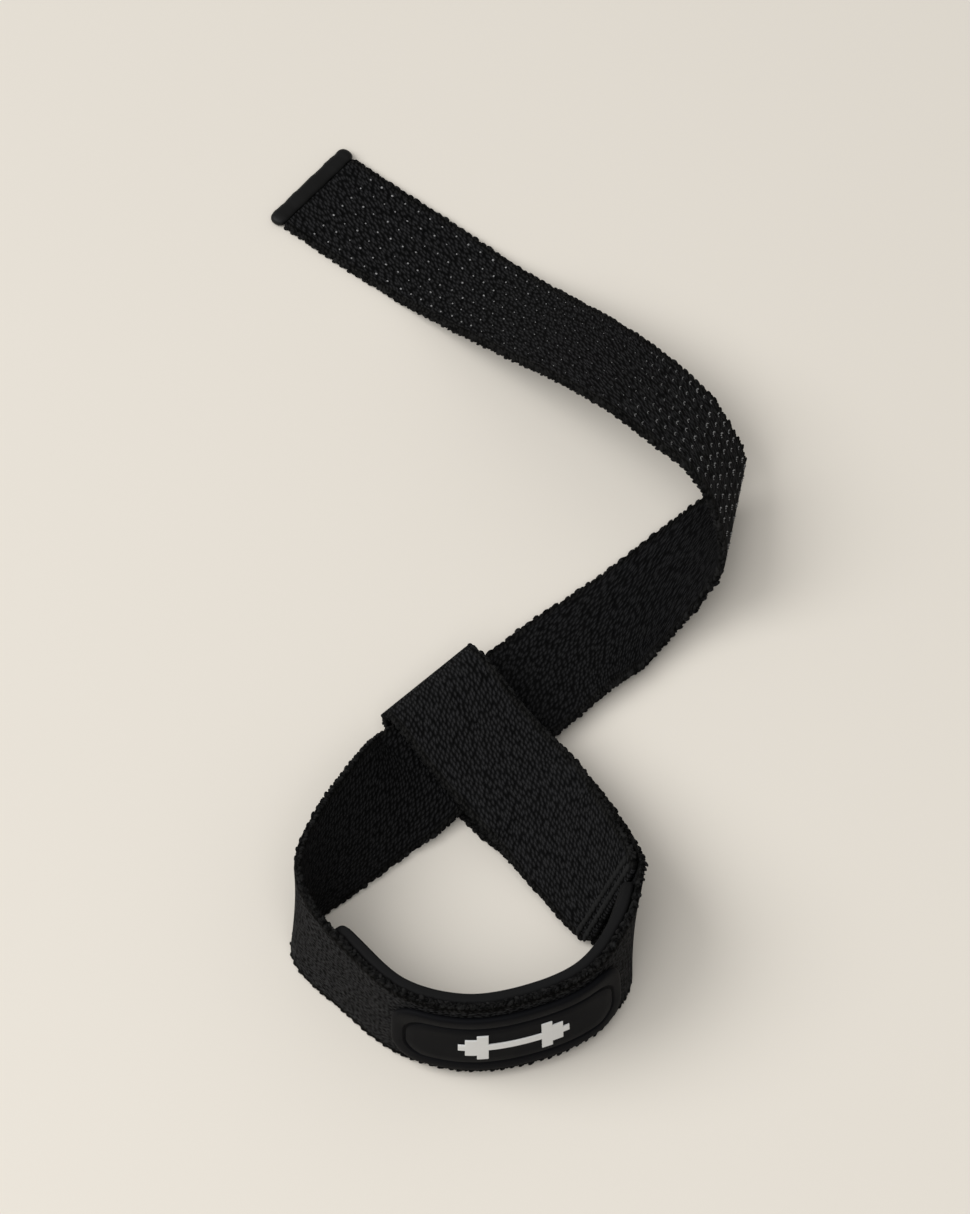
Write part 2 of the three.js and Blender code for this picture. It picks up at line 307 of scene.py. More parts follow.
def rest_on_table(made):
    """Presses flat whatever would dip into the table."""
    points = np.empty(len(made.data.vertices) * 3, dtype=np.float32)
    made.data.vertices.foreach_get("co", points)
    points[2::3] = np.maximum(points[2::3], 0)
    made.data.vertices.foreach_set("co", points)
    made.data.update()


def triangles(made):
    """How many triangles an object's faces come to."""
    return sum(len(face.vertices) - 2 for face in made.data.polygons)


# %% [markdown]
# ## Shader sums
# A material is a graph of nodes. Writing its maths as Python expressions keeps it readable: Value wraps a
# socket, and each operator on it adds a Math node. Finish is a material that is being made, with one method
# for every other kind of node.

# %% Shader helpers
class Value:
    """A socket that takes part in sums."""

    def __init__(self, finish, socket):
        self.finish = finish
        self.socket = socket

    def __add__(self, other):
        return self.finish.sum("ADD", self, other)

    def __radd__(self, other):
        return self.finish.sum("ADD", other, self)

    def __sub__(self, other):
        return self.finish.sum("SUBTRACT", self, other)

    def __rsub__(self, other):
        return self.finish.sum("SUBTRACT", other, self)

    def __mul__(self, other):
        return self.finish.sum("MULTIPLY", self, other)

    def __rmul__(self, other):
        return self.finish.sum("MULTIPLY", other, self)

    def __truediv__(self, other):
        return self.finish.sum("DIVIDE", self, other)

    def __rtruediv__(self, other):
        return self.finish.sum("DIVIDE", other, self)

    def __abs__(self):
        return self.finish.sum("ABSOLUTE", self)


class Finish:
    """A material. node() adds one node: its kind, its settings, its sockets, and which output to give."""

    def __init__(self, name, roughness, specular):
        self.material = bpy.data.materials.new(name)
        self.material.use_nodes = True
        self.tree = self.material.node_tree
        self.shader = self.tree.nodes["Principled BSDF"]
        self.shader.inputs["Roughness"].default_value = roughness
        self.shader.inputs["Specular IOR Level"].default_value = specular

    def node(self, kind, settings, sockets, output=0):
        made = self.tree.nodes.new(kind)
        for name, setting in settings.items():
            setattr(made, name, setting)
        for name, value in sockets.items():
            self.set(made.inputs[name], value)
        return Value(self, made.outputs[output])

    def set(self, socket, value):
        if isinstance(value, Value):
            self.tree.links.new(value.socket, socket)
        else:
            socket.default_value = value

    def sum(self, operation, *terms):
        return self.node("ShaderNodeMath", {"operation": operation}, dict(enumerate(terms)))

    def parts(self, vector):
        """The three numbers of a vector."""
        first = self.node("ShaderNodeSeparateXYZ", {}, {0: vector})
        return [Value(self, output) for output in first.socket.node.outputs]

    def blend(self, factor, low, high):
        """A number that goes from low to high as the factor goes from 0 to 1."""
        return self.node("ShaderNodeMix", {"data_type": "FLOAT"}, {0: factor, 2: low, 3: high})

    def mixed(self, factor, low, high):
        """A colour that goes from low to high as the factor goes from 0 to 1."""
        return self.node("ShaderNodeMix", {"data_type": "RGBA"}, {0: factor, 6: low, 7: high}, 2)

    def colour(self, factor, low, high):
        """The same, between two colours that are given as numbers."""
        return self.mixed(factor, (*low, 1), (*high, 1))

    def step(self, value, low, high):
        """0 at low, 1 at high, and a soft step between."""
        settings = {"interpolation_type": "SMOOTHSTEP"}
        return self.node("ShaderNodeMapRange", settings, {"Value": value, "From Min": low, "From Max": high})

    def pebbles(self, run, across, length, width, disorder, stagger=0.5):
        """Domes in rows, 1 high, of a length and a width. Each row starts a share of a length further on."""
        sockets = {0: run / length + across * (stagger / width), 1: across / width}
        place = self.node("ShaderNodeCombineXYZ", {}, sockets)
        settings = {"voronoi_dimensions": "2D", "feature": "F1"}
        sockets = {"Vector": place, "Scale": 1.0, "Randomness": disorder}
        rim, crown = 0.72, 0.05
        return self.step(self.node("ShaderNodeTexVoronoi", settings, sockets, "Distance"), rim, crown)

    def noise(self, place, per_metre, detail=2):
        sockets = {"Vector": place, "Scale": per_metre, "Detail": detail}
        return self.node("ShaderNodeTexNoise", {}, sockets, "Fac")

    def wear(self, colour, height=None, depth=0.0, roughness=None):
        """Connects the finish: its colour, the height of its relief in shares of depth, and its roughness."""
        self.set(self.shader.inputs["Base Color"], colour)
        if height is not None:
            bump = self.node("ShaderNodeBump", {}, {"Strength": 1.0, "Distance": depth, "Height": height})
            self.set(self.shader.inputs["Normal"], bump)
        if roughness is not None:
            self.set(self.shader.inputs["Roughness"], roughness)
        return self.material


# %% [markdown]
# ## Cotton webbing
# Close up, the webbing is a coarse weave: pebbles about 1.8 mm long in staggered rows, least regular on the
# tail. The gaps between them are painted near black and the pebble tops lighter: painted shade, for the
# shadow that the relief would cast. A repeating image would show its tile, so the weave is worked out
# from the flat place of each point: the cells of a Voronoi texture make the pebbles, and noise roughens them.
# Round the wrist the outer face shows fine lines along the strip instead, and its tones are painted lighter:
# painted light, for the light that the standing wall catches from the left. A band of 3 mm along each edge is
# woven tighter, and is a little darker and browner.

# %% Webbing material
pebble_length = 0.0018
pebble_width = 0.0013
tail_disorder = 0.75
cloth_disorder = 0.55
line_length = 0.0019
line_width = 0.00054
weave_depth = 0.0011
selvage_width = 0.003
loop_pitch = 0.0031
# Distances along the strip
tail_end = 0.31
wrist_start = 0.375
wrist_end = 0.60
# Tones of the gaps, dark as painted shade, and of the highest yarns
laid_tones = [(0.0022, 0.0022, 0.0023), (0.0235, 0.0235, 0.0245)]
# Round the wrist the tones are painted lighter, for the light that the standing wall catches.
painted_light_wrist_tones = [(0.0034, 0.0034, 0.0035), (0.0410, 0.0410, 0.0420)]
edge_tones = [(0.0016, 0.0016, 0.0015), (0.0190, 0.0186, 0.0178)]


def webbing_finish():
    cotton = Finish("black_cotton_webbing", roughness=0.95, specular=0.05)
    flat = cotton.node("ShaderNodeAttribute", {"attribute_name": "flat_place"}, {}, "Vector")
    run, across, face = cotton.parts(flat)
    level = cotton.node("ShaderNodeVectorMath", {"operation": "MULTIPLY"}, {0: flat, 1: (1, 1, 0)})
    fluff = cotton.noise(level, 1700.0, 3)
    patches = cotton.noise(level, 260.0, 3)
    past_tail = cotton.step(run, tail_end, tail_end + 0.02)
    disorder = cotton.blend(past_tail, tail_disorder, cloth_disorder)
    coarse = cotton.pebbles(run, across, pebble_length, pebble_width, disorder)
    lines = cotton.pebbles(run, across, line_length, line_width, 0.8, stagger=0.0)
    chain = cotton.pebbles(run, across, loop_pitch / 2, selvage_width / 2, 0.5)
    start = cotton.step(run, wrist_start, wrist_start + 0.02)
    end = cotton.step(run, wrist_end, wrist_end + 0.01)
    outside = start * (1 - end) * cotton.step(face, 0.0, 0.2)
    weave = cotton.blend(outside, coarse, 0.1 + 0.95 * lines)
    inward = strap_width / 2 - abs(across)
    body = cotton.step(inward + 0.0012 * patches, selvage_width - 0.0004, selvage_width + 0.0008)
    height = cotton.blend(body, 0.6 * chain + 0.5 * fluff, 0.75 * weave + (0.45 + 0.3 * outside) * fluff)
    face_b = cotton.step(face, 0.2, -0.2)
    # Lighter on high yarns and darker in the gaps, which is painted shade, varied by random patches
    light = cotton.step(0.8 * height + 0.45 * patches, 0.32 + 0.28 * outside, 1.12) * (1 - 0.3 * face_b)
    body_tone = cotton.mixed(outside, cotton.colour(light, *laid_tones), cotton.colour(light, *painted_light_wrist_tones))
    tone = cotton.mixed(body, cotton.colour(light, *edge_tones), body_tone)
    return cotton.wear(tone, height, depth=weave_depth)


webbing_material = webbing_finish()
print("material:", webbing_material.name)

# %% [markdown]
# ## The webbing
# The strip could be a plane with a Solidify modifier, but its edges are woven round: they are thick, and the
# weft that turns back there makes a row of small scallops. So its section is drawn with rounded edges and
# carried along the course, with the edge moved in and out by a fraction of a millimetre as it goes.

# %% Webbing mesh
tip_length = 0.006
seat_gap = 0.0003
face_columns = 32
edge_inset = 0.0008  # room for the selvage's loops
edge_rounding = 0.0010
scallop_depth = 0.0004
sewn_corner = 0.004
sewn_rounding = 0.0012
sewn_thickness = 0.35  # share of the thickness that is left at the very end


def rounded_section(half_width, low, high, rounding, columns, corner_points=4):
    """Points round a strip's section for each ring, from edge 1 over face A to edge 2 and back."""
    half_width, low, high = (np.asarray(a, dtype=float)[:, None] for a in (half_width, low, high))
    rounding = np.minimum(rounding, (high - low) / 2)
    quarter = np.linspace(0, math.pi / 2, corner_points)
    share = np.linspace(1, -1, columns + 1)[1:-1]
    flat = half_width - rounding
    growing = rounding * np.sin(quarter)
    falling = rounding * np.cos(quarter)
    across = np.concatenate([
        flat + falling, flat * share, -flat - growing,
        -flat - falling, -flat * share, flat + growing], axis=1)
    height = np.concatenate([
        high - rounding + growing, high + 0 * share, high - rounding + falling,
        low + rounding - growing, low + 0 * share, low + rounding - falling], axis=1)
    return across, height


def carried_strip(name, run, across, height):
    """A closed solid from a section carried along the course."""
    run = run[:, None] + 0 * across
    rings, around = across.shape
    made = make_object(name, lay(run, across, height).reshape(-1, 3), ring_faces(rings, around))
    keep_flat_places(made, run, across, height)
    face_outwards(made)
    return made


def rounded_end(run, start, end, radius):
    """1 along the strip, falling to 0 in a quarter circle over radius at each end."""
    inside = np.clip(np.minimum(run - start, end - run) / radius, 0, 1)
    return np.sqrt(1 - (1 - inside) ** 2)


def webbing_mesh():
    """Rings four to a scallop, and closer ones at the sewn end, which is the only rounded one."""
    end = course_end
    fine = 0.0045
    run = np.arange(tip_length + seat_gap, end, loop_pitch / 4)
    run = np.concatenate([run[run < end - fine], end - fine * np.linspace(1, 0, 14)[1:] ** 2])
    scallop = np.abs(np.sin(math.pi * run / loop_pitch))
    corner = sewn_corner * (1 - rounded_end(run, -1, end, sewn_corner))
    half = strap_width / 2 - edge_inset + scallop_depth * scallop - corner
    fullness = rounded_end(run, -1, end, sewn_rounding)
    thick = webbing_thickness / 2 * (sewn_thickness + (1 - sewn_thickness) * fullness)
    across, height = rounded_section(half, -thick, thick, edge_rounding, face_columns)
    return carried_strip("strap_webbing", run, across, height)


strap_webbing = webbing_mesh()
strap_webbing.data.materials.append(webbing_material)
print("webbing:", triangles(strap_webbing), "triangles")

# %% [markdown]
# ## The sealed tip
# The tail's end is dipped and pressed so that it doesn't fray. It is a smooth bar across the strip, a little
# proud of it, and the one glossy place on the tail.

# %% Sealed tip
tip_thickness = 0.0034
tip_overhang = 0.0008
tip_rounding = 0.0024
squareness = 0.7  # below 1, a sine's swing is fuller


def smooth_finish(name, roughness, low, high, specular=0.13):
    """An even finish, clouded a little between two tones, with a very fine grain."""
    finish = Finish(name, roughness=roughness, specular=specular)
    place = finish.node("ShaderNodeTexCoord", {}, {}, "Object")
    cloud = finish.noise(place, per_metre=90.0, detail=3)
    grain = finish.noise(place, per_metre=2600.0)
    tone = finish.colour(0.5 * cloud + 0.5 * grain, low, high)
    return finish.wear(tone, grain, depth=0.00006, roughness=roughness + 0.2 * (cloud - 0.5))


def tip_mesh():
    """Oval rings across the strip. Their size wavers a little, as the tip is pressed by hand."""
    half_span = strap_width / 2 + tip_overhang
    hair = 1e-5  # keeps the last rings open
    angle = np.linspace(0, 2 * math.pi, 33)[:-1]
    span = np.sin(np.linspace(-math.pi / 2, math.pi / 2, 49))
    span = np.sign(span) * np.abs(span) ** squareness * half_span
    fullness = rounded_end(span, -half_span - hair, half_span + hair, tip_rounding)
    wavy = 1 + 0.04 * np.sin(span * 700) + 0.025 * np.sin(span * 1900 + 1)
    span, fullness = span[:, None], (fullness * wavy)[:, None]
    flatter = np.abs(np.cos(angle)) ** squareness * np.sign(np.cos(angle))
    run = tip_length / 2 + fullness * tip_length / 2 * flatter
    height = tip_thickness / 2 - webbing_thickness / 2 + fullness * tip_thickness / 2 * np.sin(angle)
    points = lay(run, span + 0 * run, height).reshape(-1, 3)
    return make_object("sealed_tip", points, ring_faces(len(span), len(angle)))


sealed_tip = tip_mesh()
face_outwards(sealed_tip)
sealed_tip.data.materials.append(
    smooth_finish("sealed_cotton", 0.5, (0.0018, 0.0018, 0.0018), (0.0062, 0.0062, 0.0060), specular=0.2))
print("tip:", triangles(sealed_tip), "triangles")

# %% [markdown]
# ## The neoprene pad
# A strip of foam rubber lines the wrist loop. It is 4 mm thick, smooth, with soft edges and round corners.
# It is carried along the same course as the webbing, on its inner face, so that it follows the loop.

# %% Pad
pad_thickness = 0.004
pad_width = 0.036
pad_length = 0.134
pad_end_gap = 0.004
pad_middle = seam_distance - pad_end_gap - pad_length / 2
pad_corner = 0.007
pad_end_rounding = 0.0018
pad_edge_rounding = 0.0014
pad_ring_pitch = 0.0009


def pad_mesh():
    """Rings along the pad, closer together in its round corners."""
    start = pad_middle - pad_length / 2
    end = pad_middle + pad_length / 2
    ends = pad_corner * np.linspace(0, 1, 24) ** 2
    between = np.arange(start + pad_corner + 0.0008, end - pad_corner - 0.0002, pad_ring_pitch)
    run = np.concatenate([start + ends, between, end - ends[::-1]])
    corner = pad_corner * (1 - rounded_end(run, start, end, pad_corner))
    thick = pad_thickness / 2 * (0.2 + 0.8 * rounded_end(run, start, end, pad_end_rounding))
    centre = -webbing_thickness / 2 - seat_gap - pad_thickness / 2
    across, height = rounded_section(
        pad_width / 2 - corner, centre - thick, centre + thick, pad_edge_rounding,
        columns=28, corner_points=6)
    return carried_strip("wrist_pad_foam", run, across, height)


wrist_pad_foam = pad_mesh()
wrist_pad_foam.data.materials.append(
    smooth_finish("neoprene", 0.8, (0.004, 0.004, 0.004), (0.009, 0.009, 0.0095)))
print("pad:", triangles(wrist_pad_foam), "triangles")

# %% [markdown]
# ## The rubber label
# A moulded plate on the outside of the loop: a rim with a soft outer edge, a thin groove, and an inner panel.
# It is drawn as one outline set further and further in, each time at the height the plate has there, so the
# groove and the rounded edge follow the outline exactly. Both flat faces are closed by strips of quads from
# the upper side to the lower one, because one large face wouldn't bend. Then the plate is bent round the
# loop.

# %% Label
label_length = 0.076
label_height = 0.0285
label_thickness = 0.002
label_corner = 0.009
groove_corner = 0.008
label_middle = pad_middle + 0.003
groove_inset = 0.004
groove_width = 0.0011
groove_depth = 0.001
panel_inset = 0.011
panel_corner = 0.002
long_side_pieces = 40
short_side_pieces = 10


def outline(inset):
    """The label's outline, set in, as points in the flat: length along the strip and width across it."""
    x, y = label_length / 2 - inset, label_height / 2 - inset
    corner = np.interp(inset, [0, groove_inset, panel_inset], [label_corner, groove_corner, panel_corner])
    turn = np.linspace(0, math.pi / 2, 13)
    arcs = []
    for k, (side_x, side_y) in enumerate([(1, 1), (-1, 1), (-1, -1), (1, -1)]):
        bow = turn + k * math.pi / 2
        arcs.append(np.column_stack([
            side_x * (x - corner) + corner * np.cos(bow), side_y * (y - corner) + corner * np.sin(bow)]))
    points = []
    for k, arc in enumerate(arcs):
        following = arcs[(k + 1) % 4][0]
        pieces = long_side_pieces if k % 2 == 0 else short_side_pieces
        share = np.linspace(0, 1, pieces + 1)[1:-1, None]
        points.append(arc)
        points.append(arc[-1] + (following - arc[-1]) * share)
    return np.vstack(points)


def bridged(first, around):
    """Faces that close a ring of the outline from its upper side to its lower one."""
    start = around - short_side_pieces // 2
    upper = [first + (start + k) % around for k in range(around // 2 + 1)]
    lower = [first + (start - k) % around for k in range(around // 2 + 1)]
    side = short_side_pieces // 2 + 3
    faces = [[upper[k], upper[k + 1], lower[k + 1], lower[k]] for k in range(side, around // 2 - side)]
    return faces + [upper[:side + 1] + lower[side:0:-1], upper[-1 - side:] + lower[-2:-2 - side:-1]]


def label_mesh():
    top = label_thickness
    floor = top - groove_depth
    groove_end = groove_inset + groove_width
    # How far each outline is set in, and its height: the soft edge, the groove, then the panel.
    profile = [
        (0.0003, 0), (0, 0.0003), (0, top - 0.0011), (0.0001, top - 0.0006), (0.0004, top - 0.00025),
        (0.0009, top - 0.00005), (0.0014, top), (groove_inset - 0.0002, top), (groove_inset, top - 0.00015),
        (groove_inset + 0.00015, floor), (groove_end - 0.00015, floor), (groove_end, top - 0.00015),
        (groove_end + 0.0002, top), (0.008, top), (panel_inset, top),
    ]
    rings = []
    for inset, height in profile:
        ring = outline(inset)
        rings.append(np.column_stack([ring, np.full(len(ring), height)]))
    flat = np.vstack(rings)
    around = len(rings[0])
    base = webbing_thickness / 2 + seat_gap
    points = lay(label_middle + flat[:, 0], flat[:, 1], base + flat[:, 2])
    sides = ring_faces(len(profile), around)[:-2]
    faces = sides + bridged(0, around) + bridged((len(profile) - 1) * around, around)
    return make_object("rubber_label", points, faces)


rubber_label = label_mesh()
face_outwards(rubber_label)
rubber_label.data.materials.append(
    smooth_finish("moulded_rubber", 0.65, (0.0017, 0.0018, 0.0024), (0.0036, 0.0038, 0.0050), specular=0.075))
print("label:", triangles(rubber_label), "triangles")

# %% [markdown]
# ## The barbell mark
# A plain barbell is raised on the label's panel: a bar with two plates on each side. Its blocks are cut into
# short pieces along their length so that they can bend with the label.

# %% Mark
mark_length = 0.034
mark_height = 0.013
mark_thickness = 0.0005
mark_bar = 0.003
mark_edge = 0.00018
mark_gap = 0.00005
cut_pitch = 0.0015


def mark_mesh():
    """The barbell's outline from its left end to its middle, mirrored, raised and cut across."""
    end = mark_length / 2
    plate = mark_length / 10
    first, second, last = 0.6 * plate - end, 1.6 * plate - end, 2.6 * plate - end
    small_plate = 0.66 * mark_height
    stations = [
        (-end, mark_bar), (first, mark_bar), (first, small_plate), (second, small_plate),
        (second, mark_height), (last, mark_height), (last, mark_bar),
    ]
    upper = [(x, height / 2) for x, height in stations]
    upper += [(-x, height) for x, height in reversed(upper)]
    corners = upper + [(x, -height) for x, height in reversed(upper)]
    shape = bmesh.new()
    face = shape.faces.new([shape.verts.new((x, y, 0)) for x, y in corners])
    raised = bmesh.ops.extrude_face_region(shape, geom=[face])
    top = [part for part in raised["geom"] if isinstance(part, bmesh.types.BMVert)]
    bmesh.ops.translate(shape, verts=top, vec=(0, 0, mark_thickness))
    bmesh.ops.recalc_face_normals(shape, faces=shape.faces)
    rim = [edge for edge in shape.edges if all(v.co.z > mark_thickness / 2 for v in edge.verts)]
    bmesh.ops.bevel(shape, geom=rim, offset=mark_edge, segments=2, affect="EDGES", profile=0.5)
    for cut in np.arange(-end + cut_pitch, end, cut_pitch):
        everything = shape.verts[:] + shape.edges[:] + shape.faces[:]
        bmesh.ops.bisect_plane(shape, geom=everything, plane_co=(cut, 0, 0), plane_no=(1, 0, 0))
    mesh = bpy.data.meshes.new("barbell_mark")
    shape.to_mesh(mesh)
    shape.free()
    flat = np.array([vertex.co for vertex in mesh.vertices])
    base = webbing_thickness / 2 + seat_gap + label_thickness + mark_gap
    points = lay(label_middle + flat[:, 0], flat[:, 1], base + flat[:, 2])
    mesh.vertices.foreach_set("co", points.ravel())
    mesh.update()
    return show("barbell_mark", mesh)


barbell_mark = mark_mesh()
face_outwards(barbell_mark)
barbell_mark.data.materials.append(
    smooth_finish("light_grey_rubber", 0.6, (0.62, 0.62, 0.61), (0.74, 0.74, 0.73)))
print("mark:", triangles(barbell_mark), "triangles")

# %% [markdown]
# ## Grains on the cloth
# Grip dots, arcs, seam stitches and the loops of the selvage are all small grains that repeat along the
# strip, so Geometry Nodes make them. The points to put them on are worked out from the flat strip and carry
# two directions, out of the cloth and along the strip, and a share of the full size. The tree turns a small
# ball to those directions, stretches it to the sizes it is given, varies it a little with a fixed seed, and
# makes the copies real, because the export keeps meshes and drops instances.

# %% A tree that sows grains
grain_inputs = [
    ("Length", "NodeSocketFloat"), ("Width", "NodeSocketFloat"), ("Height", "NodeSocketFloat"),
    ("Lean", "NodeSocketFloat"), ("Unevenness", "NodeSocketFloat"), ("Seed", "NodeSocketInt"),
    ("Material", "NodeSocketMaterial"),
]


def grain_tree():
    tree = bpy.data.node_groups.new("sown_grains", "GeometryNodeTree")
    tree.interface.new_socket("Geometry", in_out="INPUT", socket_type="NodeSocketGeometry")
    for name, kind in grain_inputs:
        tree.interface.new_socket(name, in_out="INPUT", socket_type=kind)
    tree.interface.new_socket("Geometry", in_out="OUTPUT", socket_type="NodeSocketGeometry")

    def add(kind, settings, sockets):
        made = tree.nodes.new(kind)
        for name, setting in settings.items():
            setattr(made, name, setting)
        for name, value in sockets.items():
            if isinstance(value, bpy.types.NodeSocket):
                tree.links.new(value, made.inputs[name])
            else:
                made.inputs[name].default_value = value
        return made

    given = add("NodeGroupInput", {}, {}).outputs
    ball = add("GeometryNodeMeshUVSphere", {}, {"Segments": 8, "Rings": 5, "Radius": 0.5})
    smooth = add("GeometryNodeSetShadeSmooth", {}, {"Geometry": ball.outputs["Mesh"]})
    size = add("ShaderNodeCombineXYZ", {}, {"X": given["Length"], "Y": given["Width"], "Z": given["Height"]})
    grain = add("GeometryNodeTransform", {}, {"Geometry": smooth.outputs[0], "Scale": size.outputs[0]})
    normal = add("GeometryNodeInputNamedAttribute", {"data_type": "FLOAT_VECTOR"}, {"Name": "out_of_cloth"})
    forward = add("GeometryNodeInputNamedAttribute", {"data_type": "FLOAT_VECTOR"}, {"Name": "along_strip"})
    upright = add("FunctionNodeAlignRotationToVector", {"axis": "Z"}, {"Vector": normal.outputs["Attribute"]})
    turned = add("FunctionNodeAlignRotationToVector", {"axis": "X", "pivot_axis": "Z"},
                 {"Rotation": upright.outputs[0], "Vector": forward.outputs["Attribute"]})
    least = add("ShaderNodeMath", {"operation": "SUBTRACT"}, {0: 1.0, 1: given["Unevenness"]})
    most = add("ShaderNodeMath", {"operation": "ADD"}, {0: 1.0, 1: given["Unevenness"]})
    spread = add("FunctionNodeRandomValue", {"data_type": "FLOAT_VECTOR"},
                 {0: least.outputs[0], 1: most.outputs[0], "Seed": given["Seed"]})
    turning = add("FunctionNodeRandomValue", {"data_type": "FLOAT"}, {2: -0.5, 3: 0.5, "Seed": given["Seed"]})
    drift = add("ShaderNodeMath", {"operation": "MULTIPLY"}, {0: turning.outputs[1], 1: given["Unevenness"]})
    lean = add("ShaderNodeMath", {"operation": "ADD"}, {0: given["Lean"], 1: drift.outputs[0]})
    lean_turn = add("ShaderNodeCombineXYZ", {}, {"Z": lean.outputs[0]})
    leaning = add("FunctionNodeEulerToRotation", {}, {0: lean_turn.outputs[0]})
    rotated = add("FunctionNodeRotateRotation", {"rotation_space": "LOCAL"},
                  {0: turned.outputs[0], 1: leaning.outputs[0]})
    share = add("GeometryNodeInputNamedAttribute", {"data_type": "FLOAT"}, {"Name": "share_of_size"})
    scale = add("ShaderNodeVectorMath", {"operation": "SCALE"},
                {0: spread.outputs[0], "Scale": share.outputs["Attribute"]})
    sown = add("GeometryNodeInstanceOnPoints", {}, {
        "Points": given["Geometry"], "Instance": grain.outputs[0],
        "Rotation": rotated.outputs[0], "Scale": scale.outputs[0]})
    real = add("GeometryNodeRealizeInstances", {}, {"Geometry": sown.outputs[0]})
    painted = add("GeometryNodeSetMaterial", {}, {"Geometry": real.outputs[0], "Material": given["Material"]})
    add("NodeGroupOutput", {}, {"Geometry": painted.outputs[0]})
    return tree


grains = grain_tree()


def sow(name, run, across, height, sizes, share=1.0, facing=None):
    """Grains at places of the flat strip, as one mesh. They face out of the cloth unless told otherwise."""
    seeds = make_object(name + "_places", lay(run, across, height), [])
    if facing is None:
        facing = read(out, run) * np.sign(height)[:, None]
    for label, vectors in (("out_of_cloth", facing), ("along_strip", read(along, run))):
        layer = seeds.data.attributes.new(label, "FLOAT_VECTOR", "POINT")
        layer.data.foreach_set("vector", vectors.astype(np.float32).ravel())
    layer = seeds.data.attributes.new("share_of_size", "FLOAT", "POINT")
    layer.data.foreach_set("value", (share + 0 * run).astype(np.float32))
    sowing = seeds.modifiers.new("sown_grains", "NODES")
    sowing.node_group = grains
    for item in grains.interface.items_tree:
        if item.in_out == "INPUT" and item.name in sizes:
            sowing[item.identifier] = sizes[item.name]
    evaluated = seeds.evaluated_get(bpy.context.evaluated_depsgraph_get())
    mesh = bpy.data.meshes.new_from_object(evaluated)
    mesh.name = name
    bpy.data.objects.remove(seeds)
    return show(name, mesh)


def joined(name, pieces, material):
    """Several sown pieces as one."""
    whole = bmesh.new()
    for piece in pieces:
        whole.from_mesh(piece.data)
        bpy.data.objects.remove(piece)
    mesh = bpy.data.meshes.new(name)
    whole.to_mesh(mesh)
    whole.free()
    mesh.materials.append(material)
    return show(name, mesh)


# %% [markdown]
# ## Grip dots
# Face A of the tail is sown with tiny dots of silicone on a square grid, seven across, which stop the bar
# from slipping. Their light grey is a painted highlight, for the light that the glossy dots catch. The
# highlights are drawn full size near the tip and smaller along the middle of the tail, where they are dimmer.
# Where the strip turns over in the bend, the painted highlights on the dots' rounded tops show as small grey
# arcs, closer together. Each arc is five thin grains side by side. The arcs are a piece of their own, with a
# duller finish.

# %% Grip dots
dot_pitch_along = 0.0054
dot_pitch_across = 0.0049
dots_across = 7
dots_start = 0.017
arcs_start = 0.16
arcs_end = 0.262
arc_pitch = 0.0036
arc_radius = 0.001
arc_grains = 5
arc_turn = 1.1  # radians to each side
grid_wobble = 0.0003
# Distance from the tip in metres, and share of the full size there.
dot_sizes = np.array([[0.017, 1], [0.075, 1], [0.1, 0.6], [0.14, 0.4], [0.16, 0.5], [0.19, 1], [0.262, 1.1]])
wobble = np.random.default_rng(7)


def sown_on_grid(name, start, end, pitch, places, sizes):
    """Grains on a slightly uneven grid, each one drawn as the given small group of grains."""
    columns = (np.arange(dots_across) - (dots_across - 1) / 2) * dot_pitch_across
    run, across = (grid.ravel() for grid in np.meshgrid(np.arange(start, end, pitch), columns, indexing="ij"))
    run = run + wobble.normal(0, grid_wobble, run.size)
    across = across + wobble.normal(0, grid_wobble, run.size)
    share = np.interp(run, dot_sizes[:, 0], dot_sizes[:, 1]) * wobble.uniform(0.6, 1.1, run.size)
    run = np.concatenate([run + share * along for along, _ in places])
    across = np.concatenate([across + share * aside for _, aside in places])
    height = np.full(run.size, webbing_thickness / 2 + 0.0001)
    return sow(name, run, across, height, sizes, np.tile(share, len(places)))


# The dots' light grey is a painted highlight.
silicone_painted_highlight = smooth_finish("silicone_dots_painted_highlight", 0.45, (0.03, 0.03, 0.03), (0.5, 0.5, 0.5))
# The arcs' grey is a painted highlight on the dots' rounded tops in the bend.
painted_arc_highlight = smooth_finish("painted_arc_highlight", 0.75, (0.02, 0.02, 0.02), (0.44, 0.44, 0.44))
turns = np.linspace(-arc_turn, arc_turn, arc_grains)
arc_places = [(arc_radius * (1 - math.cos(turn)), arc_radius * math.sin(turn)) for turn in turns]
grip_dots = sown_on_grid("grip_dots", dots_start, arcs_start, dot_pitch_along, [(0, 0)], {
    "Length": 0.0008, "Width": 0.0007, "Height": 0.0006, "Lean": 0.0, "Unevenness": 0.3, "Seed": 3,
    "Material": silicone_painted_highlight})
# Painted highlights: grey arcs on the dots where the strip turns over.
highlight_arcs = sown_on_grid("highlight_arcs", arcs_start, arcs_end, arc_pitch, arc_places, {
    "Length": 0.00034, "Width": 0.0006, "Height": 0.00045, "Lean": 0.0, "Unevenness": 0.2, "Seed": 4,
    "Material": painted_arc_highlight})
print("grip dots:", triangles(grip_dots), "triangles")
print("arcs:", triangles(highlight_arcs), "triangles")

# %% [markdown]
# ## Seam stitches
# The folded-back end is sewn down with two rows of thick thread beside the pad's end. Each row looks like a
# rope laid across the strip: short fat grains, one after the other, leaning the same way.

# %% Seam stitches
seam_reach = 0.0165
stitch_pitch = 0.0021
seam_rows = [0.0022, 0.0052]  # from the sewn end


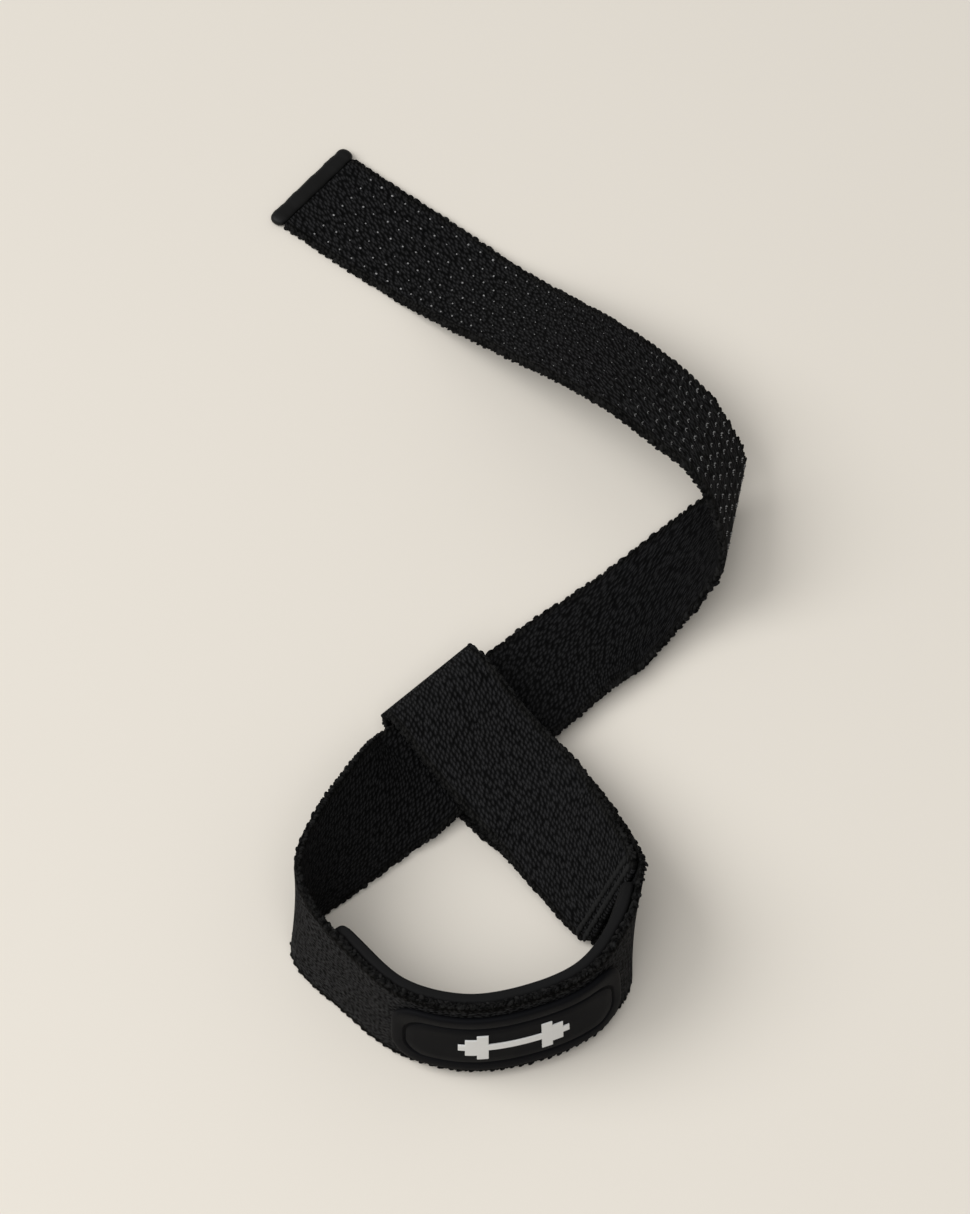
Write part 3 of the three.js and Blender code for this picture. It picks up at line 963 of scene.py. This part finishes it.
def seam_made():
    across = np.arange(-seam_reach, seam_reach + 0.0001, stitch_pitch)
    run = np.concatenate([np.full(across.size, course_end - row) for row in seam_rows])
    across = np.tile(across, len(seam_rows))
    height = np.full(run.size, webbing_thickness / 2 + 0.0002)
    thread = smooth_finish("seam_thread", 0.9, (0.007, 0.007, 0.007), (0.026, 0.026, 0.026), specular=0.05)
    return sow("seam_stitches", run, across, height, {
        "Length": 0.0017, "Width": 0.0032, "Height": 0.0014, "Lean": 0.45, "Unevenness": 0.12, "Seed": 5,
        "Material": thread})


seam_stitches = seam_made()
print("seam:", triangles(seam_stitches), "triangles")

# %% [markdown]
# ## Loops of the selvage
# Along both edges the weft turns back in small fat loops. Seen on edge round the wrist they look like a
# crochet chain: two rows of short loops, one over each face, that lean towards each other. They are grains as
# well, half sunk in the edge, uneven in size, and clouded from near black to the tone of the cloth.

# %% Selvage loops
chain_pitch = loop_pitch / 2
fat_loop = 1.22
thin_loop = 0.72
row_height = 0.00055  # of each row's middle, over or under the strip's own


def selvage_yarn():
    yarn = Finish("selvage_yarn", roughness=0.95, specular=0.05)
    place = yarn.node("ShaderNodeTexCoord", {}, {}, "Object")
    tufts = yarn.noise(place, 500.0, 3)
    strands = yarn.noise(place, 3000.0, 2)
    light = yarn.step(0.65 * tufts + 0.35 * strands, 0.35, 0.68)
    tone = yarn.colour(light, (0.0012, 0.0012, 0.0012), (0.0205, 0.0203, 0.0200))
    return yarn.wear(tone, strands, depth=0.0004)


def loops_made():
    """Every second loop is a fat one, which makes the edge scalloped."""
    stations = np.arange(tip_length + 0.0015, course_end - 0.004, chain_pitch)
    fat = np.where(np.arange(stations.size) % 2 == 0, fat_loop, thin_loop)
    material = selvage_yarn()
    rows = []
    for side, sunk in ((1, 0.0007), (-1, 0.0008)):
        for face in (1, -1):
            run = stations + 0.25 * face * chain_pitch + wobble.normal(0, 0.0002, stations.size)
            across = side * (strap_width / 2 - sunk) + wobble.normal(0, 0.00006, stations.size)
            height = face * row_height + wobble.normal(0, 0.0001, stations.size)
            share = fat * wobble.uniform(0.85, 1.1, stations.size)
            rows.append(sow("selvage_loops", run, across, height, {
                "Length": 0.0023, "Width": 0.0011, "Height": 0.0013, "Lean": 0.5 * face * side,
                "Unevenness": 0.2, "Seed": 11 + face + 2 * side, "Material": material,
            }, share, facing=side * read(way, run)))
    return joined("selvage_loops", rows, material)


selvage_loops = loops_made()
rest_on_table(selvage_loops)
print("selvage loops:", triangles(selvage_loops), "triangles")

# %% [markdown]
# ## Table and light
# The strap lies on a pale, slightly warm surface. In the photograph its shadows fall to the right and are
# soft, and the table is bright right up to the strap on the other sides. So there are two large lamps, one to
# the left and one high in front, and a weaker light from all round, which alone would darken the table at
# the strap.

# %% Table and light
def table_made():
    table = make_object("table", [(-3, -3, 0), (3, -3, 0), (3, 3, 0), (-3, 3, 0)], [(0, 1, 2, 3)])
    paper = Finish("pale_table", roughness=0.9, specular=0.2)
    place = paper.node("ShaderNodeTexCoord", {}, {}, "Object")
    cloud = paper.noise(place, 4.0, 2)
    table.data.materials.append(paper.wear(paper.colour(cloud, (0.775, 0.73, 0.655), (0.795, 0.75, 0.675))))


def lamp_made(name, place, size, watts):
    """A round lamp that shines on the middle of the table."""
    lamp = bpy.data.lights.new(name, "AREA")
    lamp.shape = "DISK"
    lamp.size = size
    lamp.energy = watts
    made = bpy.data.objects.new(name, lamp)
    made.location = place
    made.rotation_euler = (-Vector(place)).to_track_quat("-Z", "Y").to_euler()
    bpy.context.collection.objects.link(made)


table_made()
sky = bpy.data.worlds.new("room")
sky.use_nodes = True
sky.node_tree.nodes["Background"].inputs["Color"].default_value = (1.0, 0.985, 0.97, 1)
sky.node_tree.nodes["Background"].inputs["Strength"].default_value = 0.32
bpy.context.scene.world = sky
lamp_made("window", place=(-2.4, -0.1, 2.3), size=2.5, watts=59)
lamp_made("front", place=(-0.4, -1.3, 2.3), size=2.8, watts=36)
bpy.context.scene.view_settings.view_transform = "Standard"
print("lamps:", [lamp.name for lamp in bpy.data.lights])

# %% [markdown]
# ## Attaching the pieces
# Every piece rides on the one body. The five pieces that are in the CAD part stand for their nodes, which
# are hidden.

for piece, slot in (
    (strap_webbing, "webbing"), (sealed_tip, "tip"), (wrist_pad_foam, "pad"), (rubber_label, "label"),
    (barbell_mark, "mark"), (grip_dots, "mark"), (highlight_arcs, "webbing"), (seam_stitches, "webbing"),
    (selvage_loops, "webbing"),
):
    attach(piece, "root")
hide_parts("webbing")
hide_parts("tail_tip")
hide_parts("wrist_pad")
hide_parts("wrist_label")
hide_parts("label_mark")
course_end - tip_length
